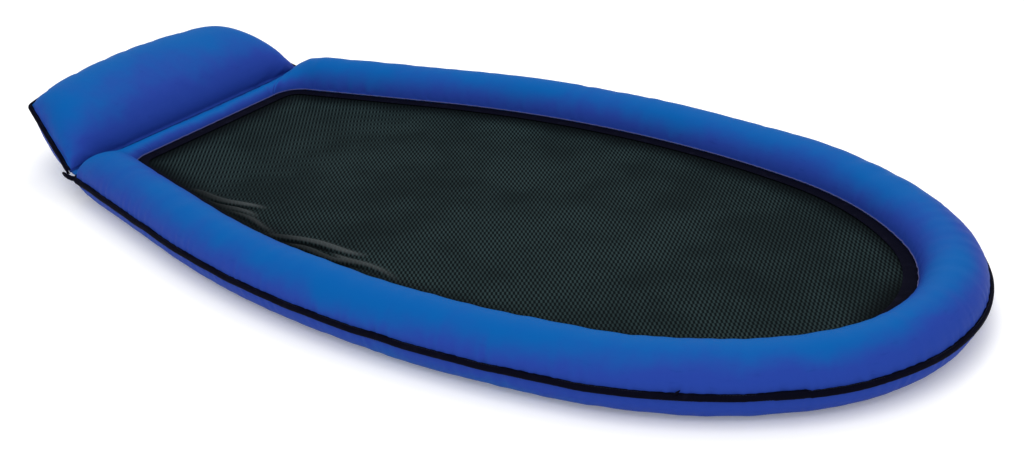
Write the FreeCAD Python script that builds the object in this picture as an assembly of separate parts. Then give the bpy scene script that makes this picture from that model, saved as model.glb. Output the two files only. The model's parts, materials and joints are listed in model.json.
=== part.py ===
import FreeCAD, Part
import math
import os

# Inflatable pool lounge: a bullet-shaped air ring with a mesh floor and a
# tilting air pillow along its straight head bar.  Millimetres, +Z up, +X from
# the head to the foot.  The origin is on the ground, under the middle of the
# whole float.  Both air chambers are film bladders inside sewn fabric covers,
# and a spring wire hoop in the edge binding keeps the ring's outline.

# ---- overall sizes ---------------------------------------------------------
RING_LENGTH = 1560.0        # head edge to foot edge, over the edge binding
RING_WIDTH = 940.0          # across the widest place, over the edge binding
HEAD_WIDTH = 635.0          # straight head edge, corner to corner
WIDEST_FROM_FOOT = 779.0    # foot edge to the widest place
SIDE_RADIUS = 1707.0        # plan arc through the widest place
SIDE_ARC_PAST_WIDEST = 12.3     # degrees of that arc towards the foot
FOOT_TIGHTENING = 94.0      # how far the nose's plan radius is under half the width
TUBE_DIAMETER = 102.0       # air tube of the sides and the foot
HEAD_TUBE_DIAMETER = 38.0   # thin air tube of the head bar
HEAD_CORNER_RADIUS = 30.0
OPENING_CORNER_RADIUS = 55.0
CORNER_GROWTH = (0.2, 0.5, 0.8)     # how far the tube has grown through a head corner

PILLOW_BASE_WIDTH = 606.0   # along the head bar
PILLOW_BACK_WIDTH = 478.0   # across its back corners
PILLOW_SIDE_DEPTH = 182.0   # base seam to back edge, at the corners
PILLOW_DEPTH = 213.0        # the same, in the middle
PILLOW_CORNER_RADIUS = 15.0     # of the binding's outer edge
PILLOW_THICKNESS = 118.0
PILLOW_END_POWER = 10.0     # how late the pillow thins towards its ends
PILLOW_END_ANGLES = (6, 25, 50, 70, 86)     # where its end sections stand
PILLOW_TILT = 22.5          # degrees above flat when blown up
WEB_WIDTH = 15.0            # fabric hinge between head bar and pillow

# ---- sheet goods and sewing ------------------------------------------------
COVER_WALL = 0.8            # coated woven cover
BLADDER_WALL = 0.8          # film bladder
COVER_TO_BLADDER = 1.6      # room for the welded valve flange
SEAM_GAP = 0.7              # half the space between two sewn edges
SEAM_LIP = 2.8              # sewn edge outside the tube, in the binding
OPENING_LIP = 5.0           # sewn edge inside the opening
BINDING_PROUD = 7.0         # rolled edge binding, out from the tube
BINDING_HEIGHT = 14.0
BINDING_WALL = 0.9
HOOP_DIAMETER = 2.6         # spring wire hoop in the binding
HOOP_CLEARANCE = 0.3
MESH_THICKNESS = 0.8
TAPE_WIDTH = 24.0           # border tape sewn over the mesh edge
TAPE_THICKNESS = 0.8
SHEET_CLEARANCE = 0.3

# ---- valves ----------------------------------------------------------------
FLANGE_DIAMETER = 44.0
FLANGE_THICKNESS = 0.8
CUP_BORE = 22.0             # recess that the stem is pushed back into
CUP_WALL = 1.2
CUP_DEPTH = 12.0
STEM_DIAMETER = 12.0
STEM_BORE = 8.0
STEM_LENGTH = 26.8
STEM_SUNK = 3.2             # stem's mouth below the cover, pushed in
STEM_RIM_REACH = 1.5        # beyond the neck, all round
STEM_RIM_THICKNESS = 1.6
STEM_COLLAR_REACH = 1.2
FLAP_DIAMETER = 10.4
FLAP_THICKNESS = 0.7
PLUG_FIT = 0.06             # radial, plug in the stem's bore
PLUG_DEPTH = 7.0
PLUG_HEAD_INSET = 0.2       # inside the stem's rim, all round
PLUG_HEAD_THICKNESS = 1.8
STRAP_WIDTH = 3.2
STRAP_THICKNESS = 0.8
FIT_GAP = 0.3               # radial, between pieces that slide or touch

RING_VALVE_BELOW = 40.0     # degrees below the seam, on the ring's far side
PILLOW_VALVE_AT = 0.72      # share of the pillow's depth, on its underside

V = FreeCAD.Vector
UP = V(0, 0, 1)
HALF_OVAL = ((-1, 0), (-1, 1), (0, 1), (1, 1), (1, 0))  # control points of a half oval
HALF_OVAL_WEIGHTS = (1, math.sqrt(0.5), 1, math.sqrt(0.5), 1)
FAN_LEAD = 20.0             # straight opening edge beside a tapering corner
TUBE_RADIUS = TUBE_DIAMETER / 2
HEAD_TUBE_RADIUS = HEAD_TUBE_DIAMETER / 2
SEAM_HEIGHT = TUBE_RADIUS + SEAM_GAP + COVER_WALL
FOOT_RADIUS = RING_WIDTH / 2 - FOOT_TIGHTENING      # plan arc of the foot's nose
WIDEST_FROM_HEAD = RING_LENGTH - WIDEST_FROM_FOOT
SPAN = BINDING_PROUD + TUBE_DIAMETER            # outer edge to opening seam
HEAD_SPAN = BINDING_PROUD + HEAD_TUBE_DIAMETER
STEM_RIM_DIAMETER = STEM_DIAMETER + 2 * STEM_RIM_REACH
STEM_COLLAR_DIAMETER = STEM_DIAMETER + 2 * STEM_COLLAR_REACH
PLUG_HEAD_DIAMETER = STEM_RIM_DIAMETER - 2 * PLUG_HEAD_INSET


def compass(degrees):
    return V(math.cos(math.radians(degrees)), math.sin(math.radians(degrees)), 0)


def bearing(vector):
    return math.degrees(math.atan2(vector.y, vector.x))


# ---- the ring's plan -------------------------------------------------------
class Round:
    """Clockwise arc that rounds the corner between two straight directions."""

    def __init__(self, corner, before, after, radius):
        self.degrees = math.degrees(before.getAngle(after))
        reach = radius * math.tan(math.radians(self.degrees / 2))
        self.corner = corner
        self.start = corner - before * reach
        self.end = corner + after * reach
        self.centre = self.start + V(before.y, -before.x, 0) * radius

    def at(self, share):
        return turned(self.start, self.centre, share * self.degrees)


def turned(point, centre, degrees):
    """The point carried clockwise about an upright line through centre."""
    arm = point - centre
    return centre + FreeCAD.Rotation(UP, -degrees).multVec(arm)


class Outline:
    """Half of a level loop at one inset: head line, corner, side, foot."""

    side_centre = V(WIDEST_FROM_HEAD, RING_WIDTH / 2 - SIDE_RADIUS, 0)
    foot_centre = V(RING_LENGTH - FOOT_RADIUS, 0, 0)
    side_end_bearing = 90 - SIDE_ARC_PAST_WIDEST
    side_end = side_centre + compass(side_end_bearing) * SIDE_RADIUS
    to_end = side_end - foot_centre
    facing = compass(side_end_bearing).dot(to_end)
    shoulder_radius = (to_end.dot(to_end) - FOOT_RADIUS ** 2) / (2 * (facing - FOOT_RADIUS))
    shoulder_centre = side_end - compass(side_end_bearing) * shoulder_radius
    shoulder_end_bearing = bearing(foot_centre - shoulder_centre)
    head_end = V(0, HEAD_WIDTH / 2, 0)
    reach = (head_end - side_centre).Length
    tangent_angle = math.degrees(math.acos(SIDE_RADIUS / reach))
    side_start_bearing = bearing(head_end - side_centre) - tangent_angle
    along_head = V(0, 1, 0)
    side_out = compass(side_start_bearing)
    along_side = V(side_out.y, -side_out.x, 0)

    def __init__(self, inset, head_x, corner_radius):
        self.side_start = self.side_centre + self.side_out * (SIDE_RADIUS - inset)
        run = (head_x - self.side_start.x) / self.along_side.x
        corner = self.side_start + self.along_side * run
        self.corner = Round(corner, self.along_head, self.along_side, corner_radius)
        self.head_x = head_x
        self.inset = inset

    def bends(self):
        """Centre and clockwise degrees of side, shoulder and foot, in order."""
        side = self.side_start_bearing - self.side_end_bearing
        shoulder = self.side_end_bearing - self.shoulder_end_bearing
        return [(self.side_centre, side), (self.shoulder_centre, shoulder),
                (self.foot_centre, self.shoulder_end_bearing)]

    def head_and_corner(self):
        """The route from the head's middle to the start of the straight side."""
        return [self.corner.start - V(self.head_x, 0, 0), (self.corner.centre, self.corner.degrees)]

    def edges(self, height):
        """The whole loop as edges at one height."""
        half = [Part.makeLine(V(self.head_x, 0, 0), self.corner.start)]
        half.append(self.corner_edge())
        half.append(Part.makeLine(self.corner.end, self.side_start))
        at = self.side_start
        for centre, degrees in self.bends():
            middle, end = turned(at, centre, degrees / 2), turned(at, centre, degrees)
            half.append(Part.Arc(at, middle, end).toShape())
            at = end
        other = [edge.mirror(V(), V(0, 1, 0)) for edge in half]
        return [edge.translated(UP * height) for edge in half + other]

    def corner_edge(self):
        return Part.Arc(self.corner.start, self.corner.at(0.5), self.corner.end).toShape()

    def face(self, height):
        return Part.Face(Part.Wire(Part.__sortEdges__(self.edges(height))))


OUTER = Outline(0, 0, HEAD_CORNER_RADIUS)
OPENING = Outline(SPAN, HEAD_SPAN, OPENING_CORNER_RADIUS)


class Station:
    """Section across the tube, from its outer edge to the opening's edge."""

    def __init__(self, outer, opening, inward, span, radius, height=SEAM_HEIGHT):
        self.outer = outer
        self.opening = opening
        self.inward = inward
        self.span = span
        self.radius = radius
        self.height = height
        self.middle = (BINDING_PROUD + span) / 2

    def point(self, r, z):
        """A point r inwards of the outer edge and z above the seam."""
        from_outer = self.outer + self.inward * r
        from_opening = self.opening + self.inward * (r - self.span)
        place = from_outer if r < self.middle else from_opening
        if r == self.middle:
            place = (from_outer + from_opening) / 2
        return place + UP * (self.height + z)

    def half_oval(self, inset, raised, side):
        """Control points over (side 1) or under (-1) the seam, from the outer edge."""
        near, far = BINDING_PROUD + inset, self.span - inset
        crown = side * (raised + self.radius - inset)
        return [self.point(near, side * raised), self.point(near, crown),
                self.point(self.middle, crown), self.point(far, crown),
                self.point(far, side * raised)]

    def moved(self, by):
        return Station(self.outer + by, self.opening + by, self.inward, self.span,
                       self.radius, self.height)

    def turned(self, centre, degrees):
        inward = FreeCAD.Rotation(UP, -degrees).multVec(self.inward)
        return Station(turned(self.outer, centre, degrees), turned(self.opening, centre, degrees),
                       inward, self.span, self.radius, self.height)


def square_station(outer, inward, span, radius, height=SEAM_HEIGHT):
    return Station(outer, outer + inward * span, inward, span, radius, height)


def corner_patches():
    """Control stations and middle weights of the three patches round a head corner.

    The first and last run beside straight edges, the middle one is the bend.
    """
    head_in, side_in = V(1, 0, 0), Outline.side_out * -1
    bend, inner = OUTER.corner, OPENING.corner
    turn = math.radians(bend.degrees)
    bend_in = (head_in + side_in) / (1 + math.cos(turn))
    first = square_station(V(0, inner.start.y - FAN_LEAD, 0), head_in, HEAD_SPAN, HEAD_TUBE_RADIUS)
    past = inner.end + OUTER.along_side * FAN_LEAD
    last = square_station(past - side_in * SPAN, side_in, SPAN, TUBE_RADIUS)
    grown = [HEAD_TUBE_RADIUS + (TUBE_RADIUS - HEAD_TUBE_RADIUS) * g for g in CORNER_GROWTH]
    spans = [HEAD_SPAN + (SPAN - HEAD_SPAN) * g for g in CORNER_GROWTH]
    start = Station(bend.start, inner.start, head_in, spans[0], grown[0])
    middle = Station(bend.corner, inner.corner, bend_in, spans[1], grown[1])
    end = Station(bend.end, inner.end, side_in, spans[2], grown[2])
    before = Station((first.outer + start.outer) / 2, (first.opening + start.opening) / 2,
                     head_in, HEAD_SPAN, HEAD_TUBE_RADIUS)
    after = Station((end.outer + last.outer) / 2, (end.opening + last.opening) / 2,
                    side_in, SPAN, TUBE_RADIUS)
    return [((first, before, start), 1), ((start, middle, end), math.cos(turn / 2)),
            ((end, after, last), 1)]


# ---- faces and solids ------------------------------------------------------
def spacing(points):
    """Running lengths along points, as curve parameters from 0 to 1."""
    lengths = [0.0]
    for before, after in zip(points, points[1:]):
        lengths.append(lengths[-1] + (after - before).Length)
    return [one / lengths[-1] for one in lengths]


def fitted(points, parameters):
    curve = Part.BSplineCurve()
    curve.interpolate(Points=points, Parameters=parameters)
    return curve


def skin(rows, along):
    """Smooth face through rows of points; along holds the rows' parameters.

    Two rows give a ruled strip, five the control rows of a half oval.
    """
    rails = [fitted(row, along) for row in rows]
    poles = [list(column) for column in zip(*[rail.getPoles() for rail in rails])]
    knots, mults, degree, weights = [0.0, 1.0], [2, 2], 1, (1, 1)
    if len(rows) == len(HALF_OVAL):
        knots, mults, degree, weights = [0.0, 0.5, 1.0], [3, 2, 3], 2, HALF_OVAL_WEIGHTS
    rail = rails[0]
    surface = Part.BSplineSurface()
    surface.buildFromPolesMultsKnots(poles, rail.getMultiplicities(), mults, rail.getKnots(),
                                     knots, False, False, rail.Degree, degree,
                                     [list(weights) for _ in poles])
    return surface.toShape()


def patch(rows, weight):
    """Exact face from three stations' control points; weight is the middle one's."""
    across_weights, knots, mults = (1, 1), [0.0, 1.0], [2, 2]
    if len(rows[0]) == len(HALF_OVAL):
        across_weights, knots, mults = HALF_OVAL_WEIGHTS, [0.0, 0.5, 1.0], [3, 2, 3]
    weights = [[along * across for across in across_weights] for along in (1, weight, 1)]
    surface = Part.BSplineSurface()
    surface.buildFromPolesMultsKnots([list(row) for row in rows], [3, 3], mults, [0.0, 1.0],
                                     knots, False, False, 2, mults[0] - 1, weights)
    return surface.toShape()


def solid_of(faces):
    shell = Part.makeCompound(faces)
    shell.sewShape()
    solid = Part.Solid(shell.Shells[0])
    if solid.Volume < 0:
        solid.reverse()
    return solid


def carried_edge(points):
    if len(points) == 2:
        return Part.makeLine(points[0], points[1])
    return Part.Arc(points[0], points[len(points) // 2], points[-1]).toShape()


def mirrored(faces):
    return faces + [face.mirror(V(), V(0, 1, 0)) for face in faces]


def carried(section, start, route):
    """Faces of a section carried along a route of straight runs and bends."""
    at, faces = start, []
    for leg in route:
        if isinstance(leg, V):
            faces += [carried_edge(strip).extrude(leg) for strip in section(at)]
            at = at.moved(leg)
        else:
            centre, degrees = leg
            faces += [carried_edge(strip).revolve(centre, -UP, degrees) for strip in section(at)]
            at = at.turned(centre, degrees)
    return faces, at


def tube_sweep(section):
    """A section of the air tube swept round the ring, tapering at the head."""
    patches = corner_patches()
    first, last = patches[0][0][0], patches[-1][0][-1]
    head = square_station(V(0, 0, 0), V(1, 0, 0), HEAD_SPAN, HEAD_TUBE_RADIUS)
    faces = carried(section, head, [first.outer])[0]
    for stations, weight in patches:
        for rows in zip(*[section(station) for station in stations]):
            faces.append(patch(rows, weight))
    route = [OUTER.side_start - last.outer] + OUTER.bends()
    return solid_of(mirrored(faces + carried(section, last, route)[0]))


def edge_sweep(section):
    """A section carried round the ring's outer edge, head line and all."""
    start = square_station(V(0, 0, 0), V(1, 0, 0), SPAN, TUBE_RADIUS)
    route = OUTER.head_and_corner() + [OUTER.side_start - OUTER.corner.end] + OUTER.bends()
    return solid_of(mirrored(carried(section, start, route)[0]))


def strips(corners):
    """Neighbouring corners of a closed section, as straight strips."""
    return [[a, b] for a, b in zip(corners, corners[1:])]


# ---- ring pieces -----------------------------------------------------------
def ring_cover(side):
    """Half of the ring's fabric cover: a half round with a sewn lip each side."""
    low, high = SEAM_GAP, SEAM_GAP + COVER_WALL
    edge = BINDING_PROUD - SEAM_LIP

    def section(at):
        outer = at.half_oval(0, high, side)
        inner = at.half_oval(COVER_WALL, high, side)
        rim = at.span + OPENING_LIP
        foot = [at.point(r, side * low) for r in (at.span - COVER_WALL, BINDING_PROUD + COVER_WALL)]
        start = [at.point(edge, side * low), at.point(edge, side * high), outer[0]]
        end = [outer[-1], at.point(rim, side * high), at.point(rim, side * low), foot[0], inner[-1]]
        return (strips(start) + [outer] + strips(end) + [inner[::-1]]
                + strips([inner[0], foot[1], start[0]]))

    return tube_sweep(section)


def ring_bladder():
    """Closed film tube, hollow, blown up inside the cover."""
    def tube(inset):
        def section(at):
            return [at.half_oval(inset, 0, 1), at.half_oval(inset, 0, -1)[::-1]]
        return tube_sweep(section)
    outside = COVER_WALL + COVER_TO_BLADDER
    return tube(outside).cut(tube(outside + BLADDER_WALL))


def crescent(at, wall_start, wall):
    """Corner and crown points of the rolled binding's outer or inner face."""
    half = BINDING_HEIGHT / 2 - wall
    seat = BINDING_PROUD - SHEET_CLEARANCE
    return [at.point(seat, -half), at.point(wall_start, 0), at.point(seat, half)]


def binding_section(at):
    outer = crescent(at, 0, 0)
    inner = crescent(at, BINDING_WALL, BINDING_WALL)
    return [outer, [outer[-1], inner[-1]], inner[::-1], [inner[0], outer[0]]]


def ring_binding():
    return edge_sweep(binding_section)


def spring_hoop():
    def section(at):
        radius = HOOP_DIAMETER / 2
        middle = BINDING_WALL + HOOP_CLEARANCE + radius
        near, far = at.point(middle - radius, 0), at.point(middle + radius, 0)
        top, bottom = at.point(middle, radius), at.point(middle, -radius)
        return [[near, top, far], [far, bottom, near]]
    return edge_sweep(section)


def mesh_panel():
    edge = Outline(SPAN + SHEET_CLEARANCE, HEAD_SPAN + SHEET_CLEARANCE,
                   OPENING_CORNER_RADIUS - SHEET_CLEARANCE)
    face = edge.face(SEAM_HEIGHT - MESH_THICKNESS / 2)
    return face.extrude(UP * MESH_THICKNESS)


def mesh_border_tape():
    """Two flat tapes sewn over and under the mesh edge and the covers' lips."""
    outer_gap, inner_gap = 2 * SHEET_CLEARANCE, TAPE_WIDTH
    face = band_face(outer_gap, inner_gap)
    height = SEAM_GAP + COVER_WALL + SHEET_CLEARANCE
    over = face.translated(UP * (SEAM_HEIGHT + height)).extrude(UP * TAPE_THICKNESS)
    under = face.translated(UP * (SEAM_HEIGHT - height)).extrude(-UP * TAPE_THICKNESS)
    return Part.makeCompound([over, under])


def band_face(outer_gap, inner_gap):
    loops = []
    for gap in (outer_gap, inner_gap):
        loop = Outline(SPAN + gap, HEAD_SPAN + gap, OPENING_CORNER_RADIUS - gap)
        loops.append(loop.face(0))
    return loops[0].cut(loops[1])


# ---- pillow ----------------------------------------------------------------
# Drawn flat behind a base seam along Y, then laid over about that seam.
class PillowSection:
    """Upright section at one share of the half width; -1 and 1 are the ends."""

    back_half = PILLOW_BACK_WIDTH / 2
    bow = PILLOW_DEPTH - PILLOW_SIDE_DEPTH
    back_radius = (bow ** 2 + back_half ** 2) / (2 * bow)

    def __init__(self, share, swell, inset=0):
        base_y = share * (PILLOW_BASE_WIDTH / 2 - inset)
        back_y = share * (self.back_half - inset)
        sagging = self.back_radius - math.sqrt(self.back_radius ** 2 - back_y ** 2)
        self.base = V(0, base_y, 0)
        self.along = (V(sagging - PILLOW_DEPTH, back_y, 0) - self.base).normalize()
        self.depth = (V(sagging - PILLOW_DEPTH, back_y, 0) - self.base).Length
        self.half_height = PILLOW_THICKNESS / 2 * swell

    def point(self, depth, z):
        return self.base + self.along * depth + UP * z

    def half_oval(self, inset, raised, side):
        middle = self.depth / 2
        a, b = middle - inset, self.half_height - inset
        return [self.point(middle + a * i, side * (raised + b * j)) for i, j in HALF_OVAL]


def pillow_sweep(section, inset=0):
    """A closed section swept from one end of the pillow to the other, capped."""
    half = [(0.3, 1.0)]
    for degrees in PILLOW_END_ANGLES:
        bulge = math.radians(degrees)
        half.append((math.sin(bulge) ** (2 / PILLOW_END_POWER), math.cos(bulge)))
    both = [(-share, swell) for share, swell in half[::-1]] + [(0.0, 1.0)] + half
    stations = [PillowSection(share, swell, inset) for share, swell in both]
    along = spacing([station.point(station.depth / 2, 0) for station in stations])
    sides = []
    for rows in zip(*[section(station) for station in stations]):
        sides.append(skin([list(row) for row in zip(*rows)], along))
    caps = []
    for end in (0.0, 1.0):
        rim = [side.Surface.uIso(end).toShape() for side in sides]
        caps.append(Part.Face(Part.Wire(Part.__sortEdges__(rim))))
    return solid_of(sides + caps)


def pillow_cover(side):
    """Half of the pillow's cover, with a sewn lip along its base and its back."""
    low, high = SEAM_GAP, SEAM_GAP + COVER_WALL

    def section(at):
        outer = at.half_oval(0, high, side)
        inner = at.half_oval(COVER_WALL, high, side)
        base, back = -SEAM_LIP, at.depth + SEAM_LIP
        foot = [at.point(r, side * low) for r in (at.depth - COVER_WALL, COVER_WALL)]
        start = [at.point(base, side * low), at.point(base, side * high), outer[0]]
        end = [outer[-1], at.point(back, side * high), at.point(back, side * low), foot[0], inner[-1]]
        return (strips(start) + [outer] + strips(end) + [inner[::-1]]
                + strips([inner[0], foot[1], start[0]]))

    return laid_over(pillow_sweep(section))


def pillow_bladder():
    """Closed film pillow, hollow, blown up inside its cover."""
    def pillow(inset):
        def section(at):
            return [at.half_oval(inset, 0, 1), at.half_oval(inset, 0, -1)[::-1]]
        return pillow_sweep(section, inset)
    outside = COVER_WALL + COVER_TO_BLADDER
    return laid_over(pillow(outside).cut(pillow(outside + BLADDER_WALL)))


def pillow_binding():
    """Rolled binding round the pillow's two ends and its back edge."""
    back_radius = PillowSection.back_radius + BINDING_PROUD
    back_centre = V(PillowSection.back_radius - PILLOW_DEPTH, 0, 0)
    base_end = V(0, PILLOW_BASE_WIDTH / 2, 0)
    back_end = V(-PILLOW_SIDE_DEPTH, PILLOW_BACK_WIDTH / 2, 0)
    to_base = (base_end - back_end).normalize()
    out = V(-to_base.y, to_base.x, 0)
    side_line = back_end + out * (BINDING_PROUD - PILLOW_CORNER_RADIUS)
    arm = side_line - back_centre
    along, reach = arm.dot(to_base), back_radius - PILLOW_CORNER_RADIUS
    root = math.sqrt(along ** 2 - arm.dot(arm) + reach ** 2)
    corner_centre = side_line - to_base * (along + root)
    back_bearing = bearing(corner_centre - back_centre)
    corner_end = corner_centre + out * PILLOW_CORNER_RADIUS
    side_run = to_base * ((-SHEET_CLEARANCE - corner_end.x) / to_base.x)
    route = [(back_centre, 180 - back_bearing), (corner_centre, back_bearing - bearing(out)), side_run]
    start = square_station(back_centre - V(back_radius, 0, 0), V(1, 0, 0), SPAN, TUBE_RADIUS, 0)
    faces, end = carried(binding_section, start, route)
    rim = [carried_edge(strip) for strip in binding_section(end)]
    cap = Part.Face(Part.Wire(Part.__sortEdges__(rim)))
    return laid_over(solid_of(mirrored(faces + [cap])))


def head_web():
    """Fabric hinge, sewn between the ring's head seam and the pillow's base."""
    length = PILLOW_BASE_WIDTH - 2 * BINDING_HEIGHT
    width = WEB_WIDTH - 2 * SHEET_CLEARANCE
    web = Part.makeBox(width, length, MESH_THICKNESS,
                       V(SHEET_CLEARANCE, -length / 2, -MESH_THICKNESS / 2))
    return laid_over(web)


def laid_over(shape):
    """From the flat drawing to the pillow's place behind the head bar."""
    shape.translate(V(-WEB_WIDTH, 0, 0))
    shape.rotate(V(), V(0, 1, 0), PILLOW_TILT)
    shape.translate(UP * SEAM_HEIGHT)
    return shape


# ---- valves ----------------------------------------------------------------
# Drawn with the axis along +Z, outwards, and the cover's outer face at Z = 0.
# The skin bends round local X at the given radius.
def disc(diameter, bottom, top):
    return Part.makeCylinder(diameter / 2, top - bottom, V(0, 0, bottom))


def skin_bend(radius, depth):
    """Solid under the bent skin, down from one depth below its outer face."""
    reach = FLANGE_DIAMETER
    return Part.makeCylinder(radius - depth, 2 * reach, V(-reach, 0, -radius), V(1, 0, 0))


def valve_base(radius):
    """Welded flange that follows the skin, with a cup for the stem."""
    top = COVER_WALL + (COVER_TO_BLADDER - FLANGE_THICKNESS) / 2
    under_skin = skin_bend(radius, top)
    flange = disc(FLANGE_DIAMETER, -radius, 0).common(under_skin)
    flange = flange.cut(skin_bend(radius, top + FLANGE_THICKNESS))
    cup_bottom = -CUP_DEPTH - CUP_WALL
    cup = disc(CUP_BORE + 2 * CUP_WALL, cup_bottom, 0).common(under_skin)
    base = flange.fuse(cup).cut(disc(CUP_BORE, -CUP_DEPTH, 1))
    return base.cut(disc(STEM_DIAMETER + 2 * FIT_GAP, cup_bottom - 1, 0)).removeSplitter()


def valve_stem():
    """Hollow neck that pulls out of the cup, with a mouth rim and a stop collar."""
    end = -STEM_SUNK - STEM_LENGTH
    stem = disc(STEM_DIAMETER, end, -STEM_SUNK)
    stem = stem.fuse(disc(STEM_RIM_DIAMETER, -STEM_SUNK - STEM_RIM_THICKNESS, -STEM_SUNK))
    stem = stem.fuse(disc(STEM_COLLAR_DIAMETER, end, end + STEM_RIM_THICKNESS))
    return stem.cut(disc(STEM_BORE, end - 1, 0)).removeSplitter()


def valve_flap():
    """Thin check flap under the stem's inner end."""
    top = -STEM_SUNK - STEM_LENGTH - FIT_GAP
    return disc(FLAP_DIAMETER, top - FLAP_THICKNESS, top)


def valve_plug():
    """Push-in plug with a chamfered grip head and nose."""
    seat = -STEM_SUNK + FIT_GAP / 2
    shank = disc(STEM_BORE - 2 * PLUG_FIT, -STEM_SUNK - PLUG_DEPTH, seat)
    shank = shank.makeChamfer(STEM_BORE / 10, [shank.Edges[2]])
    head = disc(PLUG_HEAD_DIAMETER, seat, seat + PLUG_HEAD_THICKNESS)
    head = head.makeChamfer(PLUG_HEAD_THICKNESS / 2.5, [head.Edges[0]])
    return shank.fuse(head).removeSplitter()


def valve_strap():
    """Keeper strap: a collar loose round the stem's neck, and a tongue to the plug."""
    inside = STEM_DIAMETER / 2 + FIT_GAP
    outside = inside + 1.6
    top = -STEM_SUNK - STEM_RIM_THICKNESS - FIT_GAP
    collar = disc(2 * outside, top - STRAP_THICKNESS, top)
    collar = collar.cut(disc(2 * inside, top - 2 * STRAP_THICKNESS, top + 1))
    reach = STEM_RIM_DIAMETER / 2 + FIT_GAP
    head_level = -STEM_SUNK + FIT_GAP / 2 + PLUG_HEAD_THICKNESS / 2
    foot = Part.makeBox(reach + STRAP_THICKNESS - outside + 0.4, STRAP_WIDTH, STRAP_THICKNESS,
                        V(outside - 0.4, -STRAP_WIDTH / 2, top - STRAP_THICKNESS))
    riser = Part.makeBox(STRAP_THICKNESS, STRAP_WIDTH, head_level - top + STRAP_THICKNESS,
                         V(reach, -STRAP_WIDTH / 2, top - STRAP_THICKNESS))
    return collar.fuse(foot).fuse(riser).removeSplitter()


def valve_pieces(radius):
    return {"base": valve_base(radius), "stem": valve_stem(), "flap": valve_flap(),
            "plug": valve_plug(), "strap": valve_strap()}


def ring_valve_placement():
    """On the far side at the widest place, below the seam."""
    drop = math.radians(RING_VALVE_BELOW)
    out = V(0, math.cos(drop), -math.sin(drop))
    raised = SEAM_GAP + COVER_WALL
    centre = V(WIDEST_FROM_HEAD, RING_WIDTH / 2 - BINDING_PROUD - TUBE_RADIUS, SEAM_HEIGHT - raised)
    turn = FreeCAD.Rotation(V(1, 0, 0), V(), out, "ZXY")
    return FreeCAD.Placement(centre + out * TUBE_RADIUS, turn)


def pillow_valve_skin():
    """Placement in the flat drawing, and the radius the underside bends at."""
    a, b = PILLOW_DEPTH / 2, PILLOW_THICKNESS / 2
    angle = math.acos(1 - 2 * PILLOW_VALVE_AT)
    x, z = math.cos(angle), -math.sin(angle)
    point = V(-a + a * x, 0, b * z - SEAM_GAP - COVER_WALL)
    out = V(x / a, 0, z / b).normalize()
    radius = ((a * z) ** 2 + (b * x) ** 2) ** 1.5 / (a * b)
    return FreeCAD.Placement(point, FreeCAD.Rotation(V(0, 1, 0), V(), out, "ZXY")), radius


def valve_hole(shape, placement, diameter):
    cutter = Part.makeCylinder(diameter / 2, 2 * CUP_DEPTH, V(0, 0, -CUP_DEPTH))
    cutter.Placement = placement
    return shape.cut(cutter)


# ---- assembly --------------------------------------------------------------
def assembly():
    nodes = {
        "ring_top_cover": ring_cover(1),
        "ring_bottom_cover": ring_cover(-1),
        "ring_bladder": ring_bladder(),
        "ring_binding": ring_binding(),
        "spring_hoop": spring_hoop(),
        "mesh_panel": mesh_panel(),
        "mesh_border_tape": mesh_border_tape(),
        "head_web": head_web(),
        "pillow_top_cover": pillow_cover(1),
        "pillow_bottom_cover": pillow_cover(-1),
        "pillow_bladder": pillow_bladder(),
        "pillow_binding": pillow_binding(),
    }
    flat, bend = pillow_valve_skin()
    lay = FreeCAD.Placement(UP * SEAM_HEIGHT, FreeCAD.Rotation(V(0, 1, 0), PILLOW_TILT))
    back = FreeCAD.Placement(V(-WEB_WIDTH, 0, 0), FreeCAD.Rotation())
    sites = {"ring": (ring_valve_placement(), TUBE_RADIUS), "pillow": (lay * back * flat, bend)}
    cover_hole = CUP_BORE + 2 * CUP_WALL + 2 * SHEET_CLEARANCE
    for name, (placement, radius) in sites.items():
        cover, bladder = name + "_bottom_cover", name + "_bladder"
        nodes[cover] = valve_hole(nodes[cover], placement, cover_hole)
        nodes[bladder] = valve_hole(nodes[bladder], placement, cover_hole)
        for piece, shape in valve_pieces(radius).items():
            shape.Placement = placement
            nodes[name + "_valve_" + piece] = shape
    return nodes


def main():
    nodes = assembly()
    box = FreeCAD.BoundBox()
    for shape in nodes.values():
        box.add(shape.optimalBoundingBox(True))
    middle = V(-box.Center.x, -box.Center.y, -box.ZMin)
    os.makedirs("parts", exist_ok=True)
    for name, shape in nodes.items():
        shape.translate(middle)
        shape.exportStep("parts/" + name + ".step")
    hinge = FreeCAD.Rotation(V(0, 1, 0), PILLOW_TILT).multVec(V(-WEB_WIDTH / 2, 0, 0))
    print("overall", round(box.XLength, 2), round(box.YLength, 2), round(box.ZLength, 2))
    print("pillow fold axis through", hinge + UP * SEAM_HEIGHT + middle)
    print("opening seam height", SEAM_HEIGHT + middle.z, "head edge at", middle.x)


main()
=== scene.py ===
import json
import math

import bmesh
import bpy
import numpy as np
from mathutils import Matrix, Vector


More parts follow.
